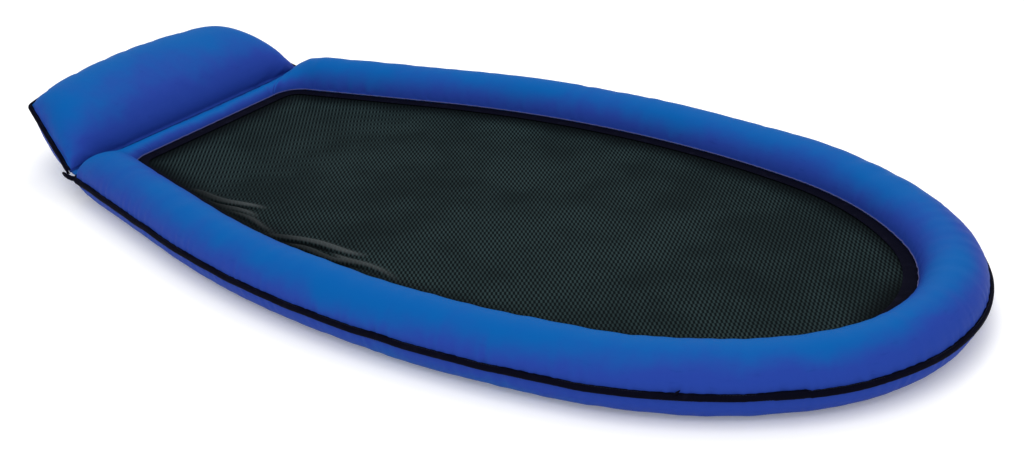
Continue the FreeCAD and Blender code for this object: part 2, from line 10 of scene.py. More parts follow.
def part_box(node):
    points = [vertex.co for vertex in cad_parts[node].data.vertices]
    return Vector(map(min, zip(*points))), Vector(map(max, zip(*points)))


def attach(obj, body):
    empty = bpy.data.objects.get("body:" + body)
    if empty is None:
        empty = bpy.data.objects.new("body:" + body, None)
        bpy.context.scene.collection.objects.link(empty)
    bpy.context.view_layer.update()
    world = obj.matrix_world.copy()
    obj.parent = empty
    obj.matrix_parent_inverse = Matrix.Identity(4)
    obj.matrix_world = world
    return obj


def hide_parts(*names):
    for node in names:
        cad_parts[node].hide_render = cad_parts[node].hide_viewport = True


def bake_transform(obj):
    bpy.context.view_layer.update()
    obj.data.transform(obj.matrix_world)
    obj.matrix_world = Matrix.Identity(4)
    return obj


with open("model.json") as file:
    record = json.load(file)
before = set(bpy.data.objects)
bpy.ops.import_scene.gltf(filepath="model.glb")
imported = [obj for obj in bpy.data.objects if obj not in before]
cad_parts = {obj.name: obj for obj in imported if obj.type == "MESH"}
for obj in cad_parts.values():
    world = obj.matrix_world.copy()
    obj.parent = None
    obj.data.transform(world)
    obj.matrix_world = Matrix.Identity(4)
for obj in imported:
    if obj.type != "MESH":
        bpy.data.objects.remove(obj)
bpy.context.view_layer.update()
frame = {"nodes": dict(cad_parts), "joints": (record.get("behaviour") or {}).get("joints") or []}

# ---- sizes of the float, in metres -----------------------------------------
RING_LENGTH, RING_WIDTH, HEAD_WIDTH = 1.560, 0.940, 0.635
WIDEST, SIDE_RADIUS, SIDE_PAST, FOOT_RADIUS = 0.781, 1.707, 12.3, 0.376
TUBE, HEAD_TUBE = 0.051, 0.019
HEAD_CORNER, OPENING_CORNER, CORNER_GROWTH = 0.030, 0.055, (0.2, 0.5, 0.8)
LEAD = 0.020
PROUD, BAND_HALF, BAND_WALL = 0.007, 0.0054, 0.0009
SPAN, HEAD_SPAN = PROUD + 2 * TUBE, PROUD + 2 * HEAD_TUBE
COVER, SEAM_GAP, SEAM_LIP, OPENING_LIP = 0.0008, 0.0007, 0.0028, 0.005
PILLOW_BASE, PILLOW_BACK, PILLOW_SIDE, PILLOW_DEPTH = 0.606, 0.478, 0.182, 0.213
PILLOW_HALF_THICK, PILLOW_POWER, PILLOW_CORNER = 0.059, 10, 0.015
WEB_WIDTH, TILT = 0.015, math.radians(22.5)
SEAM_Z = TUBE + SEAM_GAP + COVER
HEAD_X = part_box("ring_binding")[0].x
TAPE_WIDTH = 0.024

rng = np.random.default_rng(7)


# ---- plan of the ring -------------------------------------------------------
def compass(degrees):
    return np.array([math.cos(math.radians(degrees)), math.sin(math.radians(degrees))])


def bearing(v):
    return math.degrees(math.atan2(v[1], v[0]))


def turn(v, degrees):
    c, s = compass(-degrees)
    return np.array([v[0] * c - v[1] * s, v[0] * s + v[1] * c])


class Plan:
    """The half outline of the ring: head line, corner, straight side and three arcs."""

    side_centre = np.array([WIDEST, RING_WIDTH / 2 - SIDE_RADIUS])
    foot_centre = np.array([RING_LENGTH - FOOT_RADIUS, 0.0])
    side_end = 90 - SIDE_PAST
    arm = side_centre + compass(side_end) * SIDE_RADIUS - foot_centre
    facing = compass(side_end) @ arm
    shoulder = (arm @ arm - FOOT_RADIUS ** 2) / (2 * (facing - FOOT_RADIUS))
    shoulder_centre = foot_centre + arm - compass(side_end) * shoulder
    shoulder_end = bearing(foot_centre - shoulder_centre)
    head_end = np.array([0.0, HEAD_WIDTH / 2])
    reach = np.linalg.norm(head_end - side_centre)
    side_start = bearing(head_end - side_centre) - math.degrees(math.acos(SIDE_RADIUS / reach))
    side_out = compass(side_start)
    side_along = np.array([side_out[1], -side_out[0]])

    def corner(self, inset, head_x, radius):
        """Where a rounded head corner starts, its tip, and where it ends."""
        start = self.side_centre + self.side_out * (SIDE_RADIUS - inset)
        tip = start + self.side_along * (head_x - start[0]) / self.side_along[0]
        angle = math.acos(self.side_along[1])
        run = radius * math.tan(angle / 2)
        return tip - np.array([0, run]), tip, tip + self.side_along * run, angle


def blended(points, weight, t):
    """Points on the conic through three control points."""
    b = np.stack([(1 - t) ** 2, 2 * weight * t * (1 - t), t ** 2])
    return (b.T @ np.asarray(points, float)) / b.sum(0)[:, None]


def ring_stations(step):
    """Outer point, opening point, inward direction and tube radius, all round the ring."""
    plan = Plan()
    out_a, out_tip, out_b, angle = plan.corner(0, 0, HEAD_CORNER)
    in_a, in_tip, in_b, _ = plan.corner(SPAN, HEAD_SPAN, OPENING_CORNER)
    head_in, side_in = np.array([1.0, 0.0]), -plan.side_out
    bend_in = (head_in + side_in) / (1 + math.cos(angle))
    first = np.array([0, in_a[1] - LEAD])
    last_in = in_b + plan.side_along * LEAD
    last = last_in - side_in * SPAN
    grown = [HEAD_TUBE + (TUBE - HEAD_TUBE) * g for g in CORNER_GROWTH]
    parts = []

    def add(outer, opening, inward, radius, weight, length):
        t = np.linspace(0, 1, max(3, round(length / step)) + 1)[:-1]
        parts.append([blended(rows, weight, t) for rows in
                      (outer, opening, inward, [[r] for r in radius])])

    def straight(a, b, inward, span, radius):
        add([a, (a + b) / 2, b], [a + inward * span, (a + b) / 2 + inward * span, b + inward * span],
            [inward] * 3, [radius] * 3, 1, np.linalg.norm(b - a))

    straight(np.array([0.0, 0.0]), first, head_in, HEAD_SPAN, HEAD_TUBE)
    opening = first + head_in * HEAD_SPAN
    add([first, (first + out_a) / 2, out_a], [opening, (opening + in_a) / 2, in_a], [head_in] * 3,
        [HEAD_TUBE, HEAD_TUBE, grown[0]], 1, out_a[1] - first[1])
    add([out_a, out_tip, out_b], [in_a, in_tip, in_b], [head_in, bend_in, side_in], grown,
        math.cos(angle / 2), OPENING_CORNER * angle)
    add([out_b, (out_b + last) / 2, last], [in_b, (in_b + last_in) / 2, last_in], [side_in] * 3,
        [grown[2], TUBE, TUBE], 1, np.linalg.norm(last - out_b))
    side = plan.side_centre + plan.side_out * SIDE_RADIUS
    straight(last, side, side_in, SPAN, TUBE)
    for centre, degrees in ((plan.side_centre, plan.side_start - plan.side_end),
                            (plan.shoulder_centre, plan.side_end - plan.shoulder_end),
                            (plan.foot_centre, plan.shoulder_end)):
        radius = np.linalg.norm(side - centre)
        count = round(radius * math.radians(degrees) / step)
        arms = np.array([turn(side - centre, degrees * k / count) for k in range(count)])
        inward = -arms / radius
        outer = centre + arms
        parts.append([outer, outer + inward * SPAN, inward, np.full((count, 1), TUBE)])
        side = centre + turn(side - centre, degrees)
    half = [np.concatenate([part[k] for part in parts]) for k in range(4)]
    foot = [np.array([[RING_LENGTH, 0.0]]), np.array([[RING_LENGTH - SPAN, 0.0]]),
            np.array([[-1.0, 0.0]]), np.array([[TUBE]])]
    flip = np.array([1.0, -1.0])
    whole = []
    for k in range(4):
        other = half[k][:0:-1] * (flip if k < 3 else 1)
        whole.append(np.concatenate([half[k], foot[k], other]))
    outer, opening, inward, radius = whole
    shift = np.array([HEAD_X, 0.0])
    middle = (outer + opening) / 2
    gaps = np.linalg.norm(np.roll(middle, -1, 0) - middle, axis=1)
    along = np.concatenate([[0], np.cumsum(gaps)[:-1]])
    return {"outer": outer + shift, "opening": opening + shift, "inward": inward,
            "radius": radius[:, 0], "along": along, "round": float(gaps.sum())}


def lifted(plan_points, z):
    return np.concatenate([plan_points, np.asarray(z)[:, None]], 1)


# ---- meshes -----------------------------------------------------------------
def piece(name, points, faces, run=None, smooth=True):
    """A mesh object; run holds each point's place along and around its piece."""
    mesh = bpy.data.meshes.new(name)
    mesh.from_pydata([tuple(p) for p in points], [], faces)
    if run is not None:
        layer = mesh.attributes.new("run", "FLOAT_VECTOR", "POINT")
        layer.data.foreach_set("vector", np.asarray(run, np.float32).ravel())
    mesh.polygons.foreach_set("use_smooth", [smooth] * len(mesh.polygons))
    mesh.update()
    bm = bmesh.new()
    bm.from_mesh(mesh)
    bmesh.ops.recalc_face_normals(bm, faces=bm.faces)
    bm.to_mesh(mesh)
    bm.free()
    obj = bpy.data.objects.new(name, mesh)
    bpy.context.scene.collection.objects.link(obj)
    return obj


def woven(rows, closed_rows, closed_columns):
    """Quads between neighbouring rows and columns of a grid of points."""
    count, width = rows
    faces = []
    for i in range(count if closed_rows else count - 1):
        for j in range(width if closed_columns else width - 1):
            a, b = (i + 1) % count, (j + 1) % width
            faces.append((i * width + j, i * width + b, a * width + b, a * width + j))
    return faces


def hoop(name, sections, along, around):
    """A closed section carried all round a closed loop; sections are (loop, section, 3)."""
    count, width = sections.shape[:2]
    run = np.zeros((count, width, 3))
    run[..., 0], run[..., 1] = along[:, None], around[None, :]
    return piece(name, sections.reshape(-1, 3), woven((count, width), True, True), run.reshape(-1, 3))


def bar(name, sections, along, around):
    """The same between two closed ends."""
    count, width = sections.shape[:2]
    run = np.zeros((count, width, 3))
    run[..., 0], run[..., 1] = along[:, None], around[None, :]
    faces = woven((count, width), False, True)
    faces += [tuple(range(width)), tuple((count - 1) * width + k for k in range(width))[::-1]]
    return piece(name, sections.reshape(-1, 3), faces, run.reshape(-1, 3))


def ripples(length, shortest, longest, count=24):
    """A smooth uneven wave of a closed loop, about one unit high."""
    orders = np.unique(np.round(length / rng.uniform(shortest, longest, count)))
    phases = rng.uniform(0, 2 * math.pi, len(orders))
    heights = rng.uniform(0.5, 1.0, len(orders))
    heights /= math.sqrt((heights ** 2).sum() / 2)

    def wave(s):
        s = np.asarray(s)[..., None]
        return (heights * np.sin(2 * math.pi * orders * s / length + phases)).sum(-1)
    return wave


# ---- the ring ---------------------------------------------------------------
STEP = 0.0042
loop = ring_stations(STEP)
LOOP = loop["round"]
ALONG = loop["along"]
seam_pucker = ripples(LOOP, 0.011, 0.030, 60)
inner_pucker = ripples(LOOP, 0.014, 0.040, 60)
pucker_reach = ripples(LOOP, 0.06, 0.25)
tube_sway = ripples(LOOP, 0.18, 0.60)
cross_fold = ripples(LOOP, 0.030, 0.090, 40)


def skin_play(angle, side):
    """How far the blown-up skin stands off a true round, for each station and angle."""
    s = ALONG[:, None] + side * 0.37 * LOOP
    girth = loop["radius"][:, None] * angle[None, :]
    far_girth = loop["radius"][:, None] * (math.pi - angle[None, :])
    reach = 0.013 * np.clip(1 + 0.4 * pucker_reach(s), 0.3, 1.6)
    near = np.exp(-girth / np.maximum(reach, 0.004)) * (1 - np.exp(-girth / 0.003))
    far = np.exp(-far_girth / 0.012) * (1 - np.exp(-far_girth / 0.003))
    body = np.sin(angle)[None, :] ** 2
    play = 0.0022 * near * np.tanh(seam_pucker(s) / 1.6) + 0.0009 * far * inner_pucker(s)
    play = play + 0.00035 * body * cross_fold(s + 0.15 * girth)
    return play + 0.0006 * body * tube_sway(s) - 0.0004


def ring_skin(inset, raised, side, angle):
    """Points over (side 1) or under (-1) the seam, from the binding to the opening."""
    grow = skin_play(angle, side) - inset
    radius = loop["radius"][:, None] + grow
    near = loop["outer"] + loop["inward"] * PROUD
    far = loop["opening"]
    middle, half = (near + far) / 2, (far - near) / 2
    length = np.linalg.norm(half, axis=1)[:, None]
    share = -np.cos(angle)[None, :] * (1 + grow / length)
    plan = middle[:, None, :] + half[:, None, :] * share[..., None]
    z = np.maximum(SEAM_Z + side * (raised + radius * np.sin(angle)[None, :]), 0.0002 + inset)
    return np.concatenate([plan, z[..., None]], 2)


def ring_cover(name, side):
    """Sewn half of the cover: its lips, the outer skin, and the inner skin back again."""
    low, high = SEAM_GAP, SEAM_GAP + COVER
    out_angle, in_angle = np.linspace(0, math.pi, 37), np.linspace(math.pi, 0, 15)
    count = len(ALONG)

    def at(r, z, from_opening=False):
        base = loop["opening"] if from_opening else loop["outer"]
        return lifted(base + loop["inward"] * r, np.full(count, SEAM_Z + side * z))[:, None]
    sections = np.concatenate([
        at(PROUD - SEAM_LIP, low), at(PROUD - SEAM_LIP, high),
        ring_skin(0, high, side, out_angle),
        at(OPENING_LIP, high, True), at(OPENING_LIP, low, True), at(-COVER, low, True),
        ring_skin(COVER, high, side, in_angle), at(PROUD + COVER, low)], 1)
    around = np.concatenate([[-SEAM_LIP, -SEAM_LIP], TUBE * out_angle,
                             [0.165, 0.165, 0.16], TUBE * in_angle, [0.0]])
    cover = hoop(name, sections, ALONG, around)
    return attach(cover, "ring")


def ring_film():
    """The air chamber, which follows its cover's folds from inside."""
    angle = np.linspace(0, math.pi, 13)
    top = ring_skin(0.0048, 0, 1, angle)
    bottom = ring_skin(0.0048, 0, -1, angle[::-1])[:, 1:-1]
    sections = np.concatenate([top, bottom], 1)[::2]
    around = TUBE * np.linspace(0, 2 * math.pi, sections.shape[1])
    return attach(hoop("ring_air_chamber", sections, ALONG[::2], around), "ring")


def band_profile(count, wall, swell=1.0):
    """Rolled binding in (inwards, up) from its outer edge, open towards the tube."""
    t = np.linspace(-1, 1, count)
    half = BAND_HALF - wall
    inward = wall + (PROUD - 0.0003 - wall) * np.abs(t) ** 2.4
    return inward, half * np.sin(t * math.pi / 2) * swell


def binding_sections(place, inward, centre_z, count=11, lift=None, overlap=None):
    """The binding's closed section at each place of its edge."""
    out_in, out_z = band_profile(count, 0.0)
    in_in, in_z = band_profile(7, BAND_WALL)
    r, z = np.concatenate([out_in, in_in[::-1]]), np.concatenate([out_z, in_z[::-1]])
    rolled = np.zeros(len(place)) if lift is None else lift
    thick = np.zeros(len(place)) if overlap is None else overlap
    outside = np.concatenate([np.ones(count), np.zeros(len(in_in))])
    reach = r[None, :] - thick[:, None] * outside
    plan = place[:, None, :] + inward[:, None, :] * reach[..., None]
    height = centre_z + z[None, :] * (1 + thick[:, None] * outside / BAND_HALF) + rolled[:, None]
    return np.concatenate([plan, height[..., None]], 2)


BAND_AROUND = np.concatenate([np.linspace(0, 0.022, 11), np.linspace(0.022, 0, 7)])
band_roll = ripples(LOOP, 0.05, 0.35)
band_nip = ripples(LOOP, 0.010, 0.022, 40)


def lap(s, start, length):
    """0 to 1 to 0 along the loop, steep at both ends, where the tape overlaps itself."""
    d = (s - start) % LOOP
    return np.clip(d / 0.002, 0, 1) * np.clip((length - d) / 0.002, 0, 1)


def place_at(x, y):
    """Running length of the loop nearest to a plan point."""
    return ALONG[np.argmin(np.hypot(loop["outer"][:, 0] - x, loop["outer"][:, 1] - y))]


TAPE_LAP = place_at(HEAD_X + 1.425, -0.27)


def ring_band():
    before = np.exp(-np.abs(ALONG - TAPE_LAP) / 0.05) * np.sign(ALONG - TAPE_LAP)
    lift = 0.00045 * band_roll(ALONG) + 0.00010 * band_nip(ALONG) + 0.0010 * before
    thick = 0.0009 * lap(ALONG, TAPE_LAP, 0.045)
    sections = binding_sections(loop["outer"] + loop["inward"] * 0.0009, loop["inward"], SEAM_Z,
                                lift=lift, overlap=thick)
    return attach(hoop("ring_edge_binding", sections, ALONG, BAND_AROUND), "ring")


def oval(centre, across, up, half_width, half_height, count=12):
    """One upright oval section of a strip of tape."""
    turn_ = np.linspace(0, 2 * math.pi, count, endpoint=False)
    across, up = np.array(across, float), np.array(up, float)
    return centre + np.outer(np.cos(turn_) * half_width, across) + np.outer(np.sin(turn_) * half_height, up)


def tape_tail(name, side):
    """The edge tape's pointed end, left standing past a head corner."""
    path = ((0.016, 0.3125, 0.0, 0.0052, 0.0016), (0.004, 0.3148, 0.0, 0.0056, 0.0017),
            (-0.006, 0.3150, 0.0012, 0.0058, 0.0017), (-0.013, 0.3148, 0.0030, 0.0054, 0.0015),
            (-0.018, 0.3145, 0.0042, 0.0040, 0.0013), (-0.021, 0.3143, 0.0050, 0.0015, 0.0010))
    rows = [oval(np.array([HEAD_X + x, side * y, SEAM_Z + z]), (0, 1, 0), (0.25, 0, 0.97), thick, tall)
            for x, y, z, tall, thick in path]
    around = np.linspace(0, 0.02, 12)
    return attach(bar(name, np.array(rows), np.linspace(0, 0.05, len(rows)), around), "ring")


def tape_nub():
    """A short loose end of the edge tape, standing up from its upper edge."""
    at = np.argmin(np.hypot(loop["outer"][:, 0] - (HEAD_X + 1.279), loop["outer"][:, 1] + 0.367))
    base, inward = loop["outer"][at] + loop["inward"][at] * 0.003, loop["inward"][at]
    forward = np.array([-inward[1], inward[0], 0])
    path = ((0.002, 0.0030, 0.0036, 0.0013), (-0.001, 0.0064, 0.0034, 0.0013), (-0.004, 0.0098, 0.0024, 0.0011),
            (-0.007, 0.0128, 0.0008, 0.0006))
    rows = [oval(np.array([base[0], base[1], SEAM_Z + z]) + forward * run, (inward[0], inward[1], 0),
                 forward, thick, wide) for run, z, wide, thick in path]
    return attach(bar("ring_tape_loose_end", np.array(rows), np.linspace(0, 0.012, 4), np.linspace(0, 0.01, 12)), "ring")


def opening_piping():
    """Fine pale cord sewn between the cover and the mesh's tape, all round the opening."""
    angle = np.linspace(0, 2 * math.pi, 8, endpoint=False)
    sway = 0.0003 * inner_pucker(ALONG)
    r = 0.0004 + 0.0008 * np.cos(angle)
    plan = loop["opening"][:, None, :] + loop["inward"][:, None, :] * (r[None, :] + sway[:, None])[..., None]
    z = np.broadcast_to(SEAM_Z + SEAM_GAP + COVER + 0.0022 + 0.0008 * np.sin(angle), plan.shape[:2])
    sections = np.concatenate([plan, z[..., None]], 2)
    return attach(hoop("opening_piping", sections, ALONG, np.linspace(0, 0.005, 8)), "ring")


# ---- stitches ---------------------------------------------------------------
def stitches(name, centres, forwards, outwards, length=0.0030, thread=0.00032):
    """Short rounded thread dashes, standing half out of the cloth."""
    ring = [(0, 1), (0.87, 0.5), (0.87, -0.5), (0, -1), (-0.87, -0.5), (-0.87, 0.5)]
    stations = ((-0.5, 0.25), (-0.36, 0.9), (0.0, 1.15), (0.36, 0.9), (0.5, 0.25))
    sideways = np.cross(forwards, outwards)
    points, faces, base = [], [], 0
    rows = []
    for along, fat in stations:
        for a, b in ring:
            rows.append(centres + forwards * (length * along) + sideways * (thread * fat * a)
                        + outwards * (thread * fat * b + thread * (0.6 - abs(along))))
    grid = np.stack(rows, 1)
    width, stops = len(ring), len(stations)
    one = woven((stops, width), False, True)
    one += [tuple(range(width)), tuple((stops - 1) * width + k for k in range(width))[::-1]]
    per = width * stops
    for k in range(len(centres)):
        faces += [tuple(base + v for v in face) for face in one]
        base += per
    points = grid.reshape(-1, 3)
    run = np.zeros_like(points)
    run[:, 0] = np.repeat(np.arange(len(centres)) * 0.0041, per)
    return piece(name, points, faces, run)


def resampled(points, spacing, closed=True):
    """Even places along a line of points, with their directions."""
    ends = np.concatenate([points, points[:1]]) if closed else points
    gaps = np.linalg.norm(np.diff(ends, axis=0), axis=1)
    lengths = np.concatenate([[0], np.cumsum(gaps)])
    count = int(lengths[-1] / spacing)
    at = np.linspace(0, lengths[-1], count, endpoint=False)
    line = np.stack([np.interp(at, lengths, ends[:, k]) for k in range(3)], 1)
    ahead = np.stack([np.interp((at + 0.0005) % lengths[-1], lengths, ends[:, k]) for k in range(3)], 1)
    forward = ahead - line
    return line, forward / np.linalg.norm(forward, axis=1)[:, None]


def band_stitching(name, edge, inward, centre_z, closed=True):
    """A line of thread along the binding's upper edge, and one along its lower edge."""
    lines = []
    for side in (1, -1):
        r = PROUD * 0.62
        z = BAND_HALF * math.sin(0.70 * math.pi / 2)
        lines.append(np.concatenate([edge + inward * r, np.full((len(edge), 1), centre_z + side * z)], 1))
    centres, forwards, outwards = [], [], []
    for side, line in zip((1, -1), lines):
        c, f = resampled(line, 0.0042, closed)
        across = np.cross(f, [0, 0, 1.0])
        across /= np.linalg.norm(across, axis=1)[:, None]
        towards = np.stack([np.interp(np.arange(len(c)), np.linspace(0, len(c), len(edge)), inward[:, k])
                            for k in range(2)] + [np.zeros(len(c))], 1)
        across *= -np.sign((across * towards).sum(1))[:, None]
        out = across * 0.75 + np.array([0, 0, side * 0.66])
        centres.append(c)
        forwards.append(f)
        outwards.append(out)
    return stitches(name, np.concatenate(centres), np.concatenate(forwards), np.concatenate(outwards))


# ---- mesh floor ------------------------------------------------------------
def opening_half_width():
    """Places down the float and the opening's half width there."""
    plan = loop["opening"] + loop["inward"] * 0.0003
    count = len(plan)
    half = plan[:count // 2 + 1]
    order = np.argsort(half[:, 0], kind="stable")
    x, y = half[order, 0], half[order, 1]
    keep = x > x[0] + 0.0004
    return x[0], x[-1], x[keep], y[keep]


# Start and end in plan, height and width of each slack crease near the head corner.
CREASES = ((-0.425, -0.243, -0.305, -0.233, 0.0050, 0.0060), (-0.400, -0.252, -0.290, -0.258, 0.0044, 0.0055),
           (-0.345, -0.262, -0.225, -0.280, 0.0034, 0.0055), (-0.180, -0.292, -0.045, -0.275, 0.0050, 0.0060),
           (-0.125, -0.310, -0.010, -0.303, 0.0044, 0.0055), (-0.060, -0.290, 0.060, -0.306, 0.0022, 0.0060))


def floor_relief(x, y, half_width):
    """Height of the slack floor, and of the creases in it by one head corner."""
    edge = half_width - np.abs(y)
    inside = np.clip((edge - TAPE_WIDTH) / 0.015, 0, 1)
    relief = np.zeros_like(x)
    for x0, y0, x1, y1, height, width in CREASES:
        run = np.clip((x - x0) / (x1 - x0), -0.4, 1.4)
        across = y - (y0 + (y1 - y0) * run) - 0.004 * np.sin(run * 5 + 40 * x0)
        fade = np.clip((run + 0.25) / 0.35, 0, 1) * np.clip((1.3 - run) / 0.5, 0, 1)
        relief += height * fade * (np.exp(-(across / width) ** 2)
                                   - 0.6 * np.exp(-((across + 1.6 * width) / width) ** 2))
    pull = 0.0008 * np.sin(x / 0.026) * np.exp(-np.clip(edge - TAPE_WIDTH, 0, 1) / 0.05)
    sag = -0.0035 * np.clip(1 - (y / np.maximum(half_width, 0.02)) ** 2, 0, 1)
    ends = np.clip((x - HEAD_X - HEAD_SPAN - TAPE_WIDTH) / 0.08, 0, 1)
    ends = ends * np.clip((HEAD_X + RING_LENGTH - SPAN - TAPE_WIDTH - x) / 0.08, 0, 1)
    return (relief + pull + sag) * inside * ends, relief * inside * ends


def mesh_floor():
    low, high, xs, ys = opening_half_width()
    t = np.linspace(0, 1, 320) ** 1.15 * math.pi
    x = low + (high - low) * (1 - np.cos(t)) / 2 * 0.35 + (high - low) * t / math.pi * 0.65
    width = np.interp(x, xs, ys)
    width[-1] = 0.004
    share = np.sin(np.linspace(-1, 1, 161) * math.pi / 2) * 0.62 + np.linspace(-1, 1, 161) * 0.38
    gx = np.repeat(x[:, None], len(share), 1)
    gy = width[:, None] * share[None, :]
    relief, creases = floor_relief(gx, gy, np.repeat(width[:, None], len(share), 1))
    top = np.stack([gx, gy, SEAM_Z + 0.0004 + relief], 2)
    bottom = top - np.array([0, 0, 0.0008])
    rows, columns = gx.shape
    upper = woven((rows, columns), False, False)
    shift = rows * columns
    lower = [tuple(v + shift for v in face[::-1]) for face in upper]
    rim = [k for k in range(columns)] + [r * columns + columns - 1 for r in range(1, rows)]
    rim += [(rows - 1) * columns + k for k in range(columns - 2, -1, -1)]
    rim += [r * columns for r in range(rows - 2, 0, -1)]
    wall = [(a, b, b + shift, a + shift) for a, b in zip(rim, rim[1:] + rim[:1])]
    points = np.concatenate([top.reshape(-1, 3), bottom.reshape(-1, 3)])
    to_edge = np.minimum(np.minimum(width[:, None] - np.abs(gy), gx - low), high - gx)
    # run keeps, for the mesh's material, the distance to the edge for its painted edge shade and the crease height
    # for its painted crease highlight and shade.
    once = np.stack([gx, to_edge, creases * 260], 2).reshape(-1, 3)
    run = np.concatenate([once, once])
    floor = piece("mesh_floor", points, upper + lower + wall, run)
    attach(floor, "ring")
    float(high - low)
    return floor


def edge_tape(name, side):
    """One of the two tapes sewn over the mesh's edge, slightly puckered by its stitches."""
    r = np.array([0.0006, 0.0012, 0.008, 0.016, TAPE_WIDTH - 0.0012, TAPE_WIDTH - 0.0004])
    lift = np.array([0.0001, 0.0005, 0.0008, 0.0008, 0.0005, 0.0001])
    base = SEAM_GAP + COVER + 0.0003
    wave = 0.00018 * inner_pucker(ALONG + 0.1 * side)
    plan = loop["opening"][:, None, :] + loop["inward"][:, None, :] * r[None, :, None]
    raised = base + lift[None, :] + wave[:, None] * np.sin(np.linspace(0, math.pi, len(r)))[None, :]
    outer = np.concatenate([plan, (SEAM_Z + side * (raised + 0.0002))[..., None]], 2)
    back = plan[:, ::-1]
    flat = np.full(back.shape[:2], SEAM_Z + side * base)
    inner = np.concatenate([back, flat[..., None]], 2)
    sections = np.concatenate([outer, inner], 1)
    around = np.concatenate([r, r[::-1]])
    tape = hoop(name, sections, ALONG, around)
    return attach(tape, "ring")


# ---- pillow ------------------------------------------------------------------
BOW = PILLOW_DEPTH - PILLOW_SIDE
BACK_RADIUS = (BOW ** 2 + (PILLOW_BACK / 2) ** 2) / (2 * BOW)


def laid(points):
    """From the pillow's flat pattern to its place behind the head bar."""
    p = np.array(points, float)
    x, z = p[..., 0] - WEB_WIDTH, p[..., 2].copy()
    p[..., 0] = x * math.cos(TILT) + z * math.sin(TILT) + HEAD_X
    p[..., 2] = z * math.cos(TILT) - x * math.sin(TILT) + SEAM_Z
    return p


def pillow_stations():
    """Share of the half width and fullness of each section, end to end."""
    angle = np.radians(np.linspace(5, 86, 26))
    end = np.stack([np.sin(angle) ** (2 / PILLOW_POWER), np.cos(angle)], 1)
    inner = np.linspace(0, end[0, 0], 26)[:-1]
    flat = np.stack([inner, np.full(len(inner), end[0, 1] + (1 - end[0, 1]) * 0.5)], 1)
    half = np.concatenate([flat, end])
    half[:len(inner), 1] = 1 - (1 - end[0, 1]) * (inner / end[0, 0]) ** 4
    other = half[:0:-1] * np.array([-1, 1])
    return np.concatenate([other, half])


PILLOW = pillow_stations()


def pillow_skin(inset, raised, side, angle):
    """Points of one half of the pillow, base seam to back seam, in the flat pattern."""
    share, full = PILLOW[:, 0], PILLOW[:, 1]
    base = np.stack([np.zeros(len(share)), share * PILLOW_BASE / 2], 1)
    back_y = share * PILLOW_BACK / 2
    sag = BACK_RADIUS - np.sqrt(BACK_RADIUS ** 2 - back_y ** 2)
    back = np.stack([sag - PILLOW_DEPTH, back_y], 1)
    depth = np.linalg.norm(back - base, axis=1)[:, None]
    away = (back - base) / depth
    across = depth / 2 - (depth / 2 - inset) * np.cos(angle)[None, :]
    height = np.maximum(PILLOW_HALF_THICK * full - inset, 0.0004)[:, None] * np.sin(angle)[None, :]
    plan = base[:, None, :] + away[:, None, :] * across[..., None]
    return np.concatenate([plan, (side * (raised + height))[..., None]], 2)


SKIN_ANGLE = np.linspace(0, math.pi, 41)
PLAY_LIMIT = 0.0022


def blown_up():
    """How far air pressure moves the pillow's two halves, sewn edges held."""
    top = pillow_skin(0, 0.0005, 1, SKIN_ANGLE)
    bottom = pillow_skin(0, 0.0005, -1, SKIN_ANGLE)
    count, width = top.shape[:2]
    closed = np.concatenate([top, bottom[:, ::-1]], 1)
    faces = woven((count, 2 * width), False, True)
    faces += [tuple(range(2 * width)), tuple((count - 1) * 2 * width + k for k in range(2 * width))[::-1]]
    trial = piece("pillow_trial", closed.reshape(-1, 3), faces)
    held = [i * 2 * width + j for i in range(count) for j in (0, width - 1, width, 2 * width - 1)]
    held += list(range(2 * width)) + [(count - 1) * 2 * width + j for j in range(2 * width)]
    group = trial.vertex_groups.new(name="sewn_edge")
    group.add(sorted(set(held)), 1.0, "REPLACE")
    cloth = trial.modifiers.new("air", "CLOTH")
    set_ = cloth.settings
    set_.quality, set_.mass, set_.air_damping = 5, 0.12, 3.0
    set_.tension_stiffness = set_.compression_stiffness = 18
    set_.shear_stiffness, set_.bending_stiffness = 8, 0.25
    set_.use_pressure, set_.uniform_pressure_force = True, 5.0
    set_.shrink_min = -0.030
    set_.vertex_group_mass = "sewn_edge"
    set_.effector_weights.gravity = 0
    cloth.collision_settings.use_collision = False
    cloth.point_cache.frame_start, cloth.point_cache.frame_end = 1, 20
    scene = bpy.context.scene
    for frame_number in range(1, 21):
        scene.frame_set(frame_number)
    moved = trial.evaluated_get(bpy.context.evaluated_depsgraph_get()).data
    found = np.zeros(len(moved.vertices) * 3)
    moved.vertices.foreach_get("co", found)
    play = found.reshape(count, 2 * width, 3) - closed
    scene.frame_set(1)
    bpy.data.objects.remove(trial)
    size = np.linalg.norm(play, axis=2, keepdims=True)
    play *= PLAY_LIMIT / (PLAY_LIMIT + size)
    return play[:, :width], play[:, width:][:, ::-1]


PLAY_TOP, PLAY_BOTTOM = blown_up()
PILLOW_ALONG = PILLOW[:, 0] * PILLOW_BASE / 2


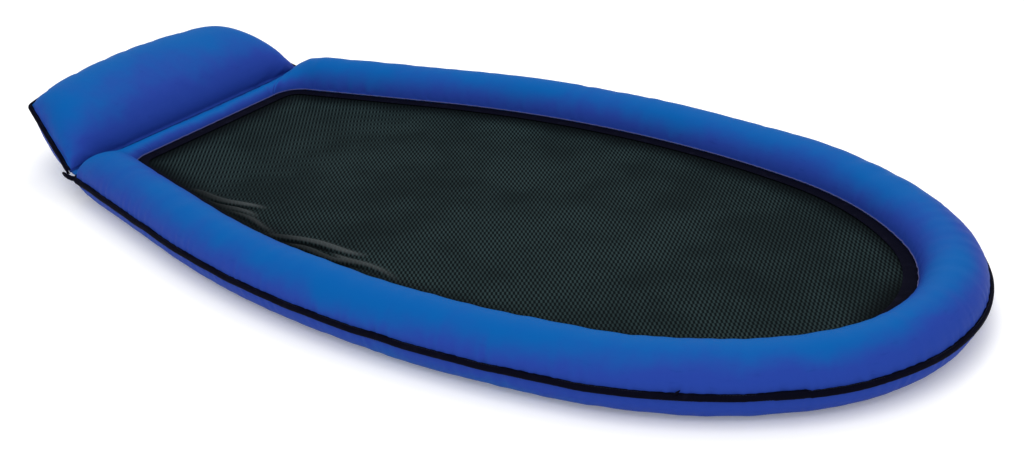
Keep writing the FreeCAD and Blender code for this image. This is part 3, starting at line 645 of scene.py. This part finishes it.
def pillow_cover(name, side):
    play = PLAY_TOP if side > 0 else PLAY_BOTTOM
    low, high = SEAM_GAP, SEAM_GAP + COVER
    outer = pillow_skin(0, high, side, SKIN_ANGLE) + play
    inner = (pillow_skin(COVER, high, side, SKIN_ANGLE) + play)[:, ::-3]
    away = outer[:, -1:] - outer[:, :1]
    away = away / np.linalg.norm(away, axis=2, keepdims=True)
    base, back = outer[:, :1].copy(), outer[:, -1:].copy()
    base[..., 2], back[..., 2] = side * high, side * high
    drop = np.array([0, 0, -side * COVER])
    rows = [base - away * SEAM_LIP + drop, base - away * SEAM_LIP, outer,
            back + away * SEAM_LIP, back + away * SEAM_LIP + drop, back - away * COVER + drop,
            inner, base + away * COVER + drop]
    sections = np.concatenate(rows, 1)
    around = np.concatenate([[0, 0], SKIN_ANGLE * 0.085, [0.27] * 3,
                             SKIN_ANGLE[::-3] * 0.085, [0.0]])
    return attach(bar(name, laid(sections), PILLOW_ALONG, around), "pillow")


def pillow_film():
    angle = SKIN_ANGLE[::2]
    top = pillow_skin(0.0026, 0, 1, angle) * [1, 0.992, 1] + PLAY_TOP[:, ::2]
    bottom = pillow_skin(0.0026, 0, -1, angle) * [1, 0.992, 1] + PLAY_BOTTOM[:, ::2]
    sections = np.concatenate([top, bottom[:, -2:0:-1]], 1)
    around = np.linspace(0, 0.5, sections.shape[1])
    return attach(bar("pillow_air_chamber", laid(sections), PILLOW_ALONG, around), "pillow")


def pillow_edge():
    """The binding's outer edge round one end, the back and the other end, with its inward side."""
    centre = np.array([BACK_RADIUS - PILLOW_DEPTH, 0.0])
    radius = BACK_RADIUS + PROUD
    base_end, back_end = np.array([0, PILLOW_BASE / 2]), np.array([-PILLOW_SIDE, PILLOW_BACK / 2])
    to_base = (base_end - back_end) / np.linalg.norm(base_end - back_end)
    out = np.array([-to_base[1], to_base[0]])
    line = back_end + out * (PROUD - PILLOW_CORNER)
    arm = line - centre
    along, reach = arm @ to_base, radius - PILLOW_CORNER
    corner = line - to_base * (along + math.sqrt(along ** 2 - arm @ arm + reach ** 2))
    back_bearing, out_bearing = bearing(corner - centre), bearing(out)
    places, inward = [], []
    for angle in np.linspace(180, back_bearing, 70)[:-1]:
        places.append(centre + compass(angle) * radius)
        inward.append(-compass(angle))
    for angle in np.linspace(back_bearing, out_bearing, 9)[:-1]:
        places.append(corner + compass(angle) * PILLOW_CORNER)
        inward.append(-compass(angle))
    end = corner + out * PILLOW_CORNER
    run = (-0.0003 - end[0]) / to_base[0]
    for share in np.linspace(0, 1, 46):
        places.append(end + to_base * run * share)
        inward.append(-out)
    places, inward = np.array(places), np.array(inward)
    flip = np.array([1.0, -1.0])
    return (np.concatenate([places[:0:-1] * flip, places]),
            np.concatenate([inward[:0:-1] * flip, inward]))


def pillow_band():
    edge, inward = pillow_edge()
    gaps = np.linalg.norm(np.diff(edge, axis=0), axis=1)
    along = np.concatenate([[0], np.cumsum(gaps)])
    lift = 0.0003 * band_roll(along * 3)
    sections = binding_sections(edge + inward * 0.0006, inward, 0.0, lift=lift)
    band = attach(bar("pillow_edge_binding", laid(sections), along, BAND_AROUND), "pillow")
    thread = band_stitching("pillow_band_stitching", edge, inward, 0.0, closed=False)
    flat = np.zeros(len(thread.data.vertices) * 3)
    thread.data.vertices.foreach_get("co", flat)
    thread.data.vertices.foreach_set("co", laid(flat.reshape(-1, 3)).ravel())
    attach(thread, "pillow")
    return band, thread


def head_hinge():
    """The fabric web between the head bar and the pillow."""
    x = np.linspace(-0.0003, 0.0003 - WEB_WIDTH, 13) + WEB_WIDTH
    y = np.linspace(-0.302, 0.302, 156)
    corner = 0.0032 * np.clip((np.abs(y) - 0.285) / 0.017, 0, 1)
    crease = ripples(0.604, 0.02, 0.07)(y + 0.302)
    middle = np.sin(np.linspace(0, math.pi, len(x)))
    top = np.zeros((len(y), len(x), 3))
    top[..., 0] = x[None, :] + corner[:, None] * (x[None, :] > WEB_WIDTH * 0.9)
    top[..., 1] = y[:, None]
    top[..., 2] = 0.00025 + 0.0004 * crease[:, None] * middle[None, :] - 0.0012 * middle[None, :]
    under = top[:, ::-1] - np.array([0, 0, 0.0006])
    sections = np.concatenate([top, under], 1)
    around = np.concatenate([x, x[::-1]])
    web = bar("head_hinge_fabric", laid(sections), y, around)
    start = laid(np.array([-0.0003 + WEB_WIDTH, 0, 0]))
    end = laid(np.array([0.0003, 0, 0]))
    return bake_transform(web)


# ---- finishes ----------------------------------------------------------------
class Amount:
    """A number that changes over a surface; arithmetic on it adds the shader's own maths."""

    def __init__(self, finish, socket):
        self.finish, self.socket = finish, socket

    def maths(self, operation, other=None, first=False):
        values = [self, other] if not first else [other, self]
        inputs = {k: v for k, v in enumerate(values) if v is not None}
        return self.finish.node("ShaderNodeMath", {"operation": operation}, inputs).amount()

    def __add__(self, other): return self.maths("ADD", other)
    def __radd__(self, other): return self.maths("ADD", other)
    def __sub__(self, other): return self.maths("SUBTRACT", other)
    def __rsub__(self, other): return self.maths("SUBTRACT", other, True)
    def __mul__(self, other): return self.maths("MULTIPLY", other)
    def __rmul__(self, other): return self.maths("MULTIPLY", other)
    def __truediv__(self, other): return self.maths("DIVIDE", other)
    def __abs__(self): return self.maths("ABSOLUTE")
    def sin(self): return self.maths("SINE")
    def power(self, other): return self.maths("POWER", other)
    def above(self, other): return self.maths("MAXIMUM", other)
    def below(self, other): return self.maths("MINIMUM", other)

    def eased(self, low, high):
        """0 under low, 1 over high, smooth between."""
        return self.finish.node("ShaderNodeMapRange", {"interpolation_type": "SMOOTHSTEP"},
                                {"Value": self, "From Min": low, "From Max": high}).amount()


class Made:
    """A node just added, and its outputs."""

    def __init__(self, finish, node):
        self.finish, self.node = finish, node

    def amount(self, name=0):
        return Amount(self.finish, self.node.outputs[name])

    def colour(self, name=0):
        return self.node.outputs[name]


class Finish:
    """A material with one main shader, its fixed values, and its varying inputs."""

    def __init__(self, name, **fixed):
        self.material = bpy.data.materials.new(name)
        self.material.use_nodes = True
        self.tree = self.material.node_tree
        self.shader = self.tree.nodes["Principled BSDF"]
        for key, value in fixed.items():
            self.shader.inputs[key.replace("_", " ")].default_value = value

    def node(self, kind, settings=None, inputs=None):
        node = self.tree.nodes.new(kind)
        for key, value in (settings or {}).items():
            setattr(node, key, value)
        for key, value in (inputs or {}).items():
            self.feed(node.inputs[key], value)
        return Made(self, node)

    def feed(self, socket, value):
        value = value.socket if isinstance(value, Amount) else value
        if isinstance(value, bpy.types.NodeSocket):
            self.tree.links.new(value, socket)
        else:
            socket.default_value = value

    def varies(self, name, value):
        self.feed(self.shader.inputs[name], value)

    def mix(self, amount, a, b):
        return self.node("ShaderNodeMix", {"data_type": "RGBA"}, {0: amount, 6: a, 7: b}).colour(2)

    def noise(self, place, scale, detail=2.0, roughness=0.5):
        return self.node("ShaderNodeTexNoise", None, {"Vector": place, "Scale": scale,
                         "Detail": detail, "Roughness": roughness}).amount("Fac")

    def place(self):
        return self.node("ShaderNodeTexCoord").colour("Object")

    def run(self):
        """Places along and around a piece, in metres."""
        kept = self.node("ShaderNodeAttribute", {"attribute_name": "run"}).colour("Vector")
        split = self.node("ShaderNodeSeparateXYZ", None, {0: kept})
        return kept, split.amount("X"), split.amount("Y")

    def bump(self, height, distance, strength=1.0, normal=None):
        inputs = {"Height": height, "Distance": distance, "Strength": strength}
        if normal is not None:
            inputs["Normal"] = normal
        return self.node("ShaderNodeBump", None, inputs).colour()


def waves(amount, pitch, shift=0.0):
    """0 to 1 to 0 once in each pitch."""
    return (amount * (2 * math.pi / pitch) + shift).sin() * 0.5 + 0.5


def cover_cloth(name, side, top, pale):
    """Satin coated cloth: fine plain weave, uneven dye, and painted shade: a violet cast where the surface turns
    from straight up, strongest at the sides and on faces turned towards the foot, with darker streaks of painted
    wrinkle shade there.
    """
    # side is the violet painted-shade copy of the blue, top its lit copy, pale the weave's light threads.
    f = Finish(name, Specular_IOR_Level=0.025, Sheen_Weight=0.015, Sheen_Roughness=0.5,
               Sheen_Tint=(0.1, 0.3, 1.0, 1))
    place = f.place()
    kept, along, around = f.run()
    clouds = f.noise(place, 6.0, 3.0)
    blotch = f.noise(place, 34.0, 3.0, 0.6)
    painted_wrinkle_shade = f.noise(f.node("ShaderNodeVectorMath", {"operation": "MULTIPLY"},
                            {0: kept, 1: (42.0, 190.0, 1.0)}).colour(), 1.0, 2.0)
    normal = f.node("ShaderNodeNewGeometry").colour("Normal")
    normal = f.node("ShaderNodeSeparateXYZ", None, {0: normal})
    upward, footward = normal.amount("Z"), normal.amount("X")
    # Painted light and shade by the surface's direction in the world: facing is the share of the lit copy, high on
    # faces turned up, middling on faces turned down, low at the sides and on faces turned towards the foot, with
    # patches of uneven dye.
    painted_light_by_normal = upward.above(upward * -0.65) - footward.above(0.0) * 0.5
    facing = (painted_light_by_normal + (clouds - 0.5) * 1.3 + (blotch - 0.5) * 0.35).eased(0.12, 1.05)
    colour = f.mix(facing, side, top)
    # Darker navy streaks, painted shade of small wrinkles, laid mostly where the painted shade is.
    colour = f.mix(painted_wrinkle_shade.eased(0.58, 0.80) * 0.30 * (1 - facing), colour, (0.004, 0.020, 0.17, 1))
    warp, weft = waves(along, 0.00072), waves(around, 0.00072, 1.3)
    weave = warp * 0.5 + weft * 0.5
    colour = f.mix(weave * 0.12, colour, pale)
    f.varies("Base Color", colour)
    f.varies("Roughness", (blotch * 0.16 + 0.40) + weave * 0.05)
    fine = f.bump(weave, 0.00006, 0.55)
    f.varies("Normal", f.bump(f.noise(place, 95.0, 3.0) * 0.6 + clouds * 0.4, 0.0008, 0.55, fine))
    return f.material


def binding_tape(name):
    """Ribbed knitted tape, near black with a navy cast."""
    f = Finish(name, Specular_IOR_Level=0.02)
    place = f.place()
    kept, along, around = f.run()
    ribs = waves(along, 0.0016)
    threads = waves(around, 0.0009)
    worn = f.noise(place, 60.0, 3.0).eased(0.55, 0.75)
    colour = f.mix(ribs * 0.7 + threads * 0.3, (0.0004, 0.0005, 0.0026, 1), (0.0030, 0.0030, 0.0105, 1))
    f.varies("Base Color", f.mix(worn * 0.35, colour, (0.007, 0.007, 0.018, 1)))
    f.varies("Roughness", 0.66 + ribs * 0.12)
    f.varies("Normal", f.bump(ribs * 0.8 + threads * 0.2, 0.00025, 0.7))
    return f.material


def sewing_thread(name, dark, light):
    f = Finish(name, Specular_IOR_Level=0.1)
    place = f.place()
    twist = f.noise(place, 900.0, 1.0)
    f.varies("Base Color", f.mix(twist, dark, light))
    f.varies("Roughness", 0.55 + twist * 0.2)
    f.varies("Normal", f.bump(twist, 0.0001, 0.6))
    return f.material


def knitted_mesh(name):
    """Net with long staggered cells set on the bias; the cells are not cut open but coloured dark as painted
    shade, with a painted highlight on crease tops and painted shade in crease troughs and round the edge.
    """
    f = Finish(name, Specular_IOR_Level=0.015)
    place = f.place()
    kept, along, to_edge = f.run()
    crease = f.node("ShaderNodeSeparateXYZ", None, {0: kept}).amount("Z")
    split = f.node("ShaderNodeSeparateXYZ", None, {0: place})
    x, y = split.amount("X"), split.amount("Y")
    lean = math.radians(36.3)
    wobble = f.noise(place, 16.0, 2.0) * 0.0028
    across = x * math.cos(lean) + y * math.sin(lean) + wobble
    down = y * math.cos(lean) - x * math.sin(lean) + wobble * 2.0
    cell, reach = 0.00335, 0.0100
    first = (across * (math.pi / cell)).sin()
    long = (down * (math.pi / reach)).sin()
    strands = first * long * 0.5 + 0.5
    ribs = waves(across, 2 * cell)
    threads = strands.eased(0.30, 0.78)
    near_head = 1 - x.eased(-0.52, -0.20)
    lines = ribs.eased(0.35, 0.85)
    lit = threads * (1 - near_head * 0.75) + lines * near_head * 0.75
    patches = f.noise(place, 9.0, 3.0).eased(0.3, 0.7)
    lit = lit * (0.55 + patches * 0.45)
    fine = waves(across + down * 0.5, 0.0016) * waves(across - down * 0.5, 0.0016, 1.1)
    # The cells between the threads are not cut open: their dark colour is painted shade, the shaded floor below as
    # seen through them.
    base = f.mix(fine * 0.4, (0.0008, 0.0024, 0.0030, 1), (0.0030, 0.0068, 0.0078, 1))
    colour = f.mix(lit, base, (0.021, 0.038, 0.040, 1))
    # Painted highlight on the tops of the slack creases, and painted shade in their troughs.
    colour = f.mix(crease.above(0.0).below(0.55), colour, (0.075, 0.085, 0.088, 1))
    colour = f.mix((crease * -1.6).above(0.0).below(0.85), colour, (0.0005, 0.0010, 0.0014, 1))
    # Painted shade in a band round the mesh's edge, where the tubes shade it: full within 20 mm of the edge, gone
    # by 75 mm.
    f.varies("Base Color", f.mix((1 - to_edge.eased(0.020, 0.075)) * 0.93, colour, (0.0006, 0.0014, 0.0020, 1)))
    f.varies("Roughness", 0.62 + fine * 0.15)
    f.varies("Normal", f.bump(lit * 0.8 + fine * 0.2, 0.0007, 0.8))
    return f.material


def clear_film(name):
    f = Finish(name, Specular_IOR_Level=0.5, Coat_Roughness=0.1)
    cloud = f.noise(f.place(), 20.0, 2.0)
    f.varies("Base Color", f.mix(cloud, (0.62, 0.66, 0.70, 1), (0.74, 0.77, 0.80, 1)))
    f.varies("Roughness", 0.2 + cloud * 0.1)
    f.varies("Normal", f.bump(cloud, 0.0008, 0.4))
    return f.material


def spring_wire(name):
    f = Finish(name)
    drawn = f.noise(f.place(), 300.0, 2.0)
    f.varies("Base Color", f.mix(drawn, (0.42, 0.42, 0.44, 1), (0.58, 0.58, 0.60, 1)))
    f.varies("Metallic", 1 - drawn * 0.1)
    f.varies("Roughness", 0.25 + drawn * 0.15)
    f.varies("Normal", f.bump(drawn, 0.00003, 0.4))
    return f.material


def valve_vinyl(name):
    f = Finish(name, Specular_IOR_Level=0.5, Subsurface_Weight=0.0)
    place = f.place()
    flow = f.noise(place, 120.0, 2.0)
    f.varies("Base Color", f.mix(flow, (0.012, 0.030, 0.075, 1), (0.020, 0.045, 0.105, 1)))
    f.varies("Roughness", 0.28 + flow * 0.14)
    f.varies("Normal", f.bump(f.noise(place, 900.0, 2.0), 0.00003, 0.5))
    return f.material


def pale_floor(name):
    f = Finish(name, Specular_IOR_Level=0.1, Emission_Strength=0.14, Emission_Color=(1, 1, 1, 1))
    grain = f.noise(f.place(), 3.0, 3.0)
    f.varies("Base Color", f.mix(grain, (0.93, 0.93, 0.93, 1), (0.945, 0.945, 0.945, 1)))
    f.varies("Roughness", 0.85 + grain * 0.05)
    return f.material


# ---- assembly -----------------------------------------------------------------
# Blue cloth colours: the violet painted-shade copy, the lit copy, and the weave's light thread colour.
BLUE = cover_cloth("blue_cover_cloth", (0.0165, 0.0420, 0.285, 1), (0.0004, 0.0880, 0.325, 1),
                   (0.012, 0.120, 0.430, 1))
TAPE = binding_tape("black_binding_tape")
THREAD = sewing_thread("dark_sewing_thread", (0.004, 0.005, 0.012, 1), (0.02, 0.022, 0.045, 1))
CORD = sewing_thread("pale_piping_cord", (0.045, 0.05, 0.16, 1), (0.12, 0.12, 0.26, 1))
NET = knitted_mesh("dark_mesh_net")
FILM = clear_film("clear_bladder_film")
WIRE = spring_wire("spring_hoop_wire")
VINYL = valve_vinyl("soft_valve_vinyl")


def dressed(obj, material, slot, *nodes):
    obj.data.materials.clear()
    obj.data.materials.append(material)
    if nodes:
        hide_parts(*nodes)
    return obj


def valve_opening(cover, base_node, axis):
    """Cuts the round hole that the valve's cup sits in."""
    low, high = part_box(base_node)
    centre = (low + high) / 2
    cutter_mesh = bpy.data.meshes.new("hole")
    bm = bmesh.new()
    bmesh.ops.create_cone(bm, cap_ends=True, segments=48, radius1=0.0125, radius2=0.0125, depth=0.040)
    bm.to_mesh(cutter_mesh)
    bm.free()
    cutter = bpy.data.objects.new("hole", cutter_mesh)
    bpy.context.scene.collection.objects.link(cutter)
    cutter.matrix_world = Matrix.Translation(centre) @ Vector(axis).to_track_quat("Z", "Y").to_matrix().to_4x4()
    bpy.context.view_layer.update()
    hole = cover.modifiers.new("valve_hole", "BOOLEAN")
    hole.operation, hole.solver, hole.object = "DIFFERENCE", "EXACT", cutter
    mesh = bpy.data.meshes.new_from_object(cover.evaluated_get(bpy.context.evaluated_depsgraph_get()))
    cover.modifiers.clear()
    cover.data = mesh
    bpy.data.objects.remove(cutter)


ring_upper = dressed(ring_cover("ring_cover_upper", 1), BLUE, "cover_fabric", "ring_top_cover")
ring_lower = dressed(ring_cover("ring_cover_lower", -1), BLUE, "cover_fabric", "ring_bottom_cover")
ring_bag = dressed(ring_film(), FILM, "bladder_film", "ring_bladder")
dressed(ring_band(), TAPE, "binding_fabric", "ring_binding")
thread = band_stitching("ring_band_stitching", loop["outer"] + loop["inward"] * 0.0004, loop["inward"], SEAM_Z)
dressed(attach(thread, "ring"), THREAD, "binding_fabric")
dressed(edge_tape("mesh_edge_tape_upper", 1), TAPE, "binding_fabric", "mesh_border_tape")
dressed(edge_tape("mesh_edge_tape_lower", -1), TAPE, "binding_fabric")
dressed(mesh_floor(), NET, "mesh_fabric", "mesh_panel")
dressed(opening_piping(), CORD, "binding_fabric")
dressed(tape_nub(), TAPE, "binding_fabric")
for side, name in ((-1, "ring_tape_tail_right"), (1, "ring_tape_tail_left")):
    dressed(tape_tail(name, side), TAPE, "binding_fabric")
pillow_upper = dressed(pillow_cover("pillow_cover_upper", 1), BLUE, "cover_fabric", "pillow_top_cover")
pillow_lower = dressed(pillow_cover("pillow_cover_lower", -1), BLUE, "cover_fabric", "pillow_bottom_cover")
pillow_bag = dressed(pillow_film(), FILM, "bladder_film", "pillow_bladder")
band, thread = pillow_band()
dressed(band, TAPE, "binding_fabric", "pillow_binding")
dressed(thread, THREAD, "binding_fabric")
dressed(head_hinge(), BLUE, "cover_fabric", "head_web")

axes = {j["name"]: j["axis"] for j in frame["joints"]}
for cover in (ring_lower, ring_bag):
    valve_opening(cover, "ring_valve_base", axes["ring_stem_slide"])
for cover in (pillow_lower, pillow_bag):
    valve_opening(cover, "pillow_valve_base", axes["pillow_stem_slide"])
for node, obj in frame["nodes"].items():
    if "_valve_" in node or node == "spring_hoop":
        obj.data.materials.clear()
        obj.data.materials.append(WIRE if node == "spring_hoop" else VINYL)

# ---- floor, light and camera ----------------------------------------------------
floor_mesh = bpy.data.meshes.new("floor")
floor_mesh.from_pydata([(-9, -9, 0), (9, -9, 0), (9, 9, 0), (-9, 9, 0)], [], [(0, 1, 2, 3)])
floor = bpy.data.objects.new("floor", floor_mesh)
bpy.context.scene.collection.objects.link(floor)
floor.data.materials.append(pale_floor("pale_floor"))


def soft_light(name, place, towards, size, power, tint=(1, 1, 1)):
    lamp = bpy.data.lights.new(name, "AREA")
    lamp.shape, lamp.size, lamp.energy, lamp.color = "DISK", size, power, tint
    obj = bpy.data.objects.new(name, lamp)
    bpy.context.scene.collection.objects.link(obj)
    obj.location = place
    obj.rotation_euler = (Vector(towards) - Vector(place)).to_track_quat("-Z", "Y").to_euler()
    return obj


soft_light("key_light", (0.9, -1.6, 3.4), (0, 0, 0), 3.2, 62)
soft_light("back_light", (-0.6, 1.9, 3.0), (0, 0, 0), 2.8, 34)
world = bpy.data.worlds.new("studio")
bpy.context.scene.world = world
world.use_nodes = True
world.node_tree.nodes["Background"].inputs["Color"].default_value = (1, 1, 1, 1)
world.node_tree.nodes["Background"].inputs["Strength"].default_value = 0.80
bpy.context.scene.view_settings.view_transform = "Standard"

azimuth, elevation, roll = math.radians(36.335), math.radians(26.298), math.radians(-2.493)
back = Vector((math.sin(azimuth) * math.cos(elevation), -math.cos(azimuth) * math.cos(elevation),
               math.sin(elevation)))
right = Vector((math.cos(azimuth), math.sin(azimuth), 0))
up = back.cross(right)
right, up = (right * math.cos(roll) + up * math.sin(roll), up * math.cos(roll) - right * math.sin(roll))
target = Vector((0.80784 + HEAD_X, -0.07619, SEAM_Z))
camera_data = bpy.data.cameras.new("camera")
camera = bpy.data.objects.new("camera", camera_data)
bpy.context.scene.collection.objects.link(camera)
camera_data.sensor_width, camera_data.lens = 36, 1519.55 * 36 / 1024
camera.matrix_world = Matrix.Translation(target + back * 2.48447) @ Matrix((right, up, back)).transposed().to_4x4()
bpy.context.scene.camera = camera
